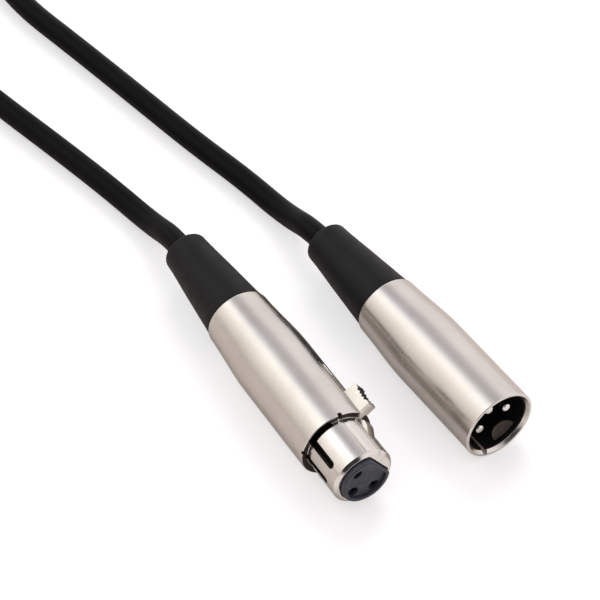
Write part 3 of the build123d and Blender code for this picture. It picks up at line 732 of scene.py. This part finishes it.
def make_connectors():
    # The shell's front rim, gaps and latch channel are painted dark as shade with the second material
    make("female_shell_body", female_shell(), FEMALE, SHELL_NICKEL, ["female_shell"],
         second_material=(PAINTED_SHADE_METAL, in_female_painted_shade))
    make("female_nose_sleeve", female_nose(), FEMALE, NOSE_NICKEL, ["female_nose"])
    # The contact block is one grey moulding; its body behind the flange is painted black as shade
    make("female_contact_block", female_insert(), FEMALE, INSERT_GREY, ["female_insert"],
         second_material=(INSERT_BLACK_AND_PAINTED_SHADE, lambda p: p.z > FLANGE_REAR + 0.1))
    # The tab's serrated grip is painted dark as shade with the second material
    make("latch", latch_lever(), FEMALE, LATCH_NICKEL, ["latch_lever"], "latch",
         second_material=(PAINTED_SHADE_METAL, lambda p: p.x > 11.6 and 1.7 < p.z < 6.4 and abs(p.y) < 1.5))
    spring = make("latch_spring_wire", latch_spring(), FEMALE, SPRING_STEEL, ["latch_spring"], None)
    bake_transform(spring)
    make("male_shell_body", male_shell(), MALE, SHELL_NICKEL, ["male_shell"],
         second_material=(CAST_METAL, lambda p: p.x > 6 and math.hypot(p.x, p.y) < 9.1 and WINDOW[0] - 0.2 < p.z < 7.0))
    make("male_liner", male_insert(), MALE, INSERT_BLACK_AND_PAINTED_SHADE, ["male_insert"])
    for number, angle in enumerate(CONTACT_ANGLES, 1):
        place = MALE @ Matrix.Translation((*spot(PITCH_R, angle), 0))
        make(f"male_contact_{number}", male_pin(), place, SILVER, [f"male_pin_{number}"])
    make("female_boot_sleeve", boot(), FEMALE, BOOT_BLACK, ["female_boot"])
    make("male_boot_sleeve", boot(), MALE, BOOT_BLACK, ["male_boot"])


def dress_frame():
    """Better materials on the CAD nodes that stay."""
    finishes = {
        "shell_nickel": SHELL_NICKEL, "nose_nickel": NOSE_NICKEL, "latch_nickel": LATCH_NICKEL,
        "boot_plastic": BOOT_BLACK, "clamp_plastic": CLAMP_WHITE, "cable_jacket": CABLE_BLACK,
        "insert_grey": INSERT_GREY, "insert_black": INSERT_BLACK_AND_PAINTED_SHADE, "contact_brass": BRASS,
        "contact_silver": SILVER, "tinned_brass": TINNED, "screw_steel": SCREW_STEEL,
        "spring_steel": SPRING_STEEL, "wire_red": WIRE_RED, "wire_white": WIRE_WHITE,
        "wire_bare": WIRE_BARE, "tie_nylon": TIE_BLACK}
    for part in frame["record"]["subparts"]:
        for holder in frame["nodes"][part["node"]].material_slots:
            holder.material = finishes[part["material_slot"]]


# ---------------------------------------------------------------- floor and light

def stage_piece(name, bm, colour, glow, seen):
    """Backdrop or floor: one that is seen gives the object no light, and one that isn't does only that."""
    mesh = bpy.data.meshes.new(name)
    bm.to_mesh(mesh)
    bm.free()
    material = bpy.data.materials.new(name)
    material.use_nodes = True
    shader = material.node_tree.nodes["Principled BSDF"]
    shader.inputs["Base Color"].default_value = (*colour, 1.0)
    shader.inputs["Roughness"].default_value = 0.8
    shader.inputs["Specular IOR Level"].default_value = 0.1
    shader.inputs["Emission Color"].default_value = (1.0, 1.0, 1.0, 1.0)
    shader.inputs["Emission Strength"].default_value = glow
    mesh.materials.append(material)
    piece = bpy.data.objects.new(name, mesh)
    piece.visible_camera = seen
    piece.visible_diffuse = piece.visible_glossy = piece.visible_transmission = not seen
    piece.visible_shadow = False
    bpy.context.scene.collection.objects.link(piece)


def sheet_at(z, size):
    bm = new_bm()
    corners = ((-size, -size), (size, -size), (size, size), (-size, size))
    bm.faces.new([bm.verts.new((x, y, z)) for x, y in corners])
    return bm


def make_stage():
    """White floor and backdrop that are seen, and a greyer table and pale front card that the metal reflects."""
    stage_piece("floor", sheet_at(FLOOR_Z, 8.0), (0.50, 0.49, 0.50), 0.56, True)
    stage_piece("table", sheet_at(FLOOR_Z - 0.0001, 8.0), (0.61, 0.56, 0.54), 0.0, False)
    card = sheet_at(FLOOR_Z - 0.00005, 0.15)
    bmesh.ops.translate(card, verts=card.verts, vec=(0.0, -0.192, 0.0))
    stage_piece("card", card, (0.85, 0.81, 0.79), 0.0, False)
    dome = new_bm()
    bmesh.ops.create_icosphere(dome, subdivisions=4, radius=9.0)
    stage_piece("backdrop", dome, (0.0, 0.0, 0.0), 1.0, True)


def area_light(name, at, target, size, power, colour):
    data = bpy.data.lights.new(name, "AREA")
    data.energy = power
    data.color = colour
    data.shape = "RECTANGLE"
    data.size = data.size_y = size
    light = bpy.data.objects.new(name, data)
    light.location = at
    light.rotation_euler = (Vector(target) - Vector(at)).to_track_quat("-Z", "Y").to_euler()
    bpy.context.scene.collection.objects.link(light)
    return light


# Colour of the studio round the Y axis, in degrees from +X over the top: a white room with a broad soft
# box overhead and a gap beside it, dimmer to the left and below; the seam is at 180 degrees
STUDIO_SEAM = (0.62, 0.56, 0.53)
STUDIO = [
    (-90, (0.5, 0.48, 0.47)), (-7, (0.93, 0.92, 0.93)), (36, (1.08, 1.03, 1.03)),
    (52, (1.04, 0.99, 1.0)), (62, (0.76, 0.71, 0.73)), (80, (0.58, 0.56, 0.58)), (92, (0.74, 0.75, 0.79)),
    (101, (1.28, 1.29, 1.34)), (109, (1.56, 1.56, 1.56)), (122, (1.5, 1.45, 1.4)), (137, (1.18, 1.12, 1.07)),
    (155, (0.98, 0.91, 0.86)), (168, (0.76, 0.70, 0.66))]
# A ramp's colours end at 1, so they are stored over the peak and scaled back
STUDIO_PEAK = 1.6
# The room's dark opening in front of the connectors
OPENING_WAY = Vector((-0.33, -0.80, 0.50)).normalized()
OPENING_EDGE = (math.cos(math.radians(32)), math.cos(math.radians(28)))
OPENING_SHADE = 0.03


def light_scene():
    scene = bpy.context.scene
    scene.view_settings.view_transform = "Standard"
    world = bpy.data.worlds.new("studio")
    scene.world = world
    world.use_nodes = True
    tree = world.node_tree
    coordinates = node(tree, "ShaderNodeTexCoord").outputs["Generated"]
    way = node(tree, "ShaderNodeSeparateXYZ", {0: coordinates}).outputs
    turn = node(tree, "ShaderNodeMath", {0: way["Z"], 1: way["X"]}, operation="ARCTAN2").outputs[0]
    ramp = node(tree, "ShaderNodeValToRGB", {"Fac": ranged(tree, turn, -math.pi, math.pi, 0.0, 1.0)})
    elements = ramp.color_ramp.elements
    for element in elements:
        element.color = (*(c / STUDIO_PEAK for c in STUDIO_SEAM), 1.0)
    for degrees, colour in STUDIO:
        elements.new((degrees + 180) / 360).color = (*(c / STUDIO_PEAK for c in colour), 1.0)
    background = tree.nodes["Background"]
    tree.links.new(ramp.outputs["Color"], background.inputs["Color"])
    towards = node(tree, "ShaderNodeVectorMath", {0: coordinates, 1: OPENING_WAY}, operation="DOT_PRODUCT")
    tree.links.new(ranged(tree, towards.outputs["Value"], *OPENING_EDGE, STUDIO_PEAK, OPENING_SHADE * STUDIO_PEAK),
                   background.inputs["Strength"])
    key = area_light("key", (0.55, 0.75, 0.95), (0, 0.05, 0), 0.7, 9.0, (1.0, 0.985, 0.97))
    key.visible_glossy = False


# ---------------------------------------------------------------- build

set_camera()
cable = make_cable()
tie = make_tie()
make_connectors()
dress_frame()
make_stage()
light_scene()
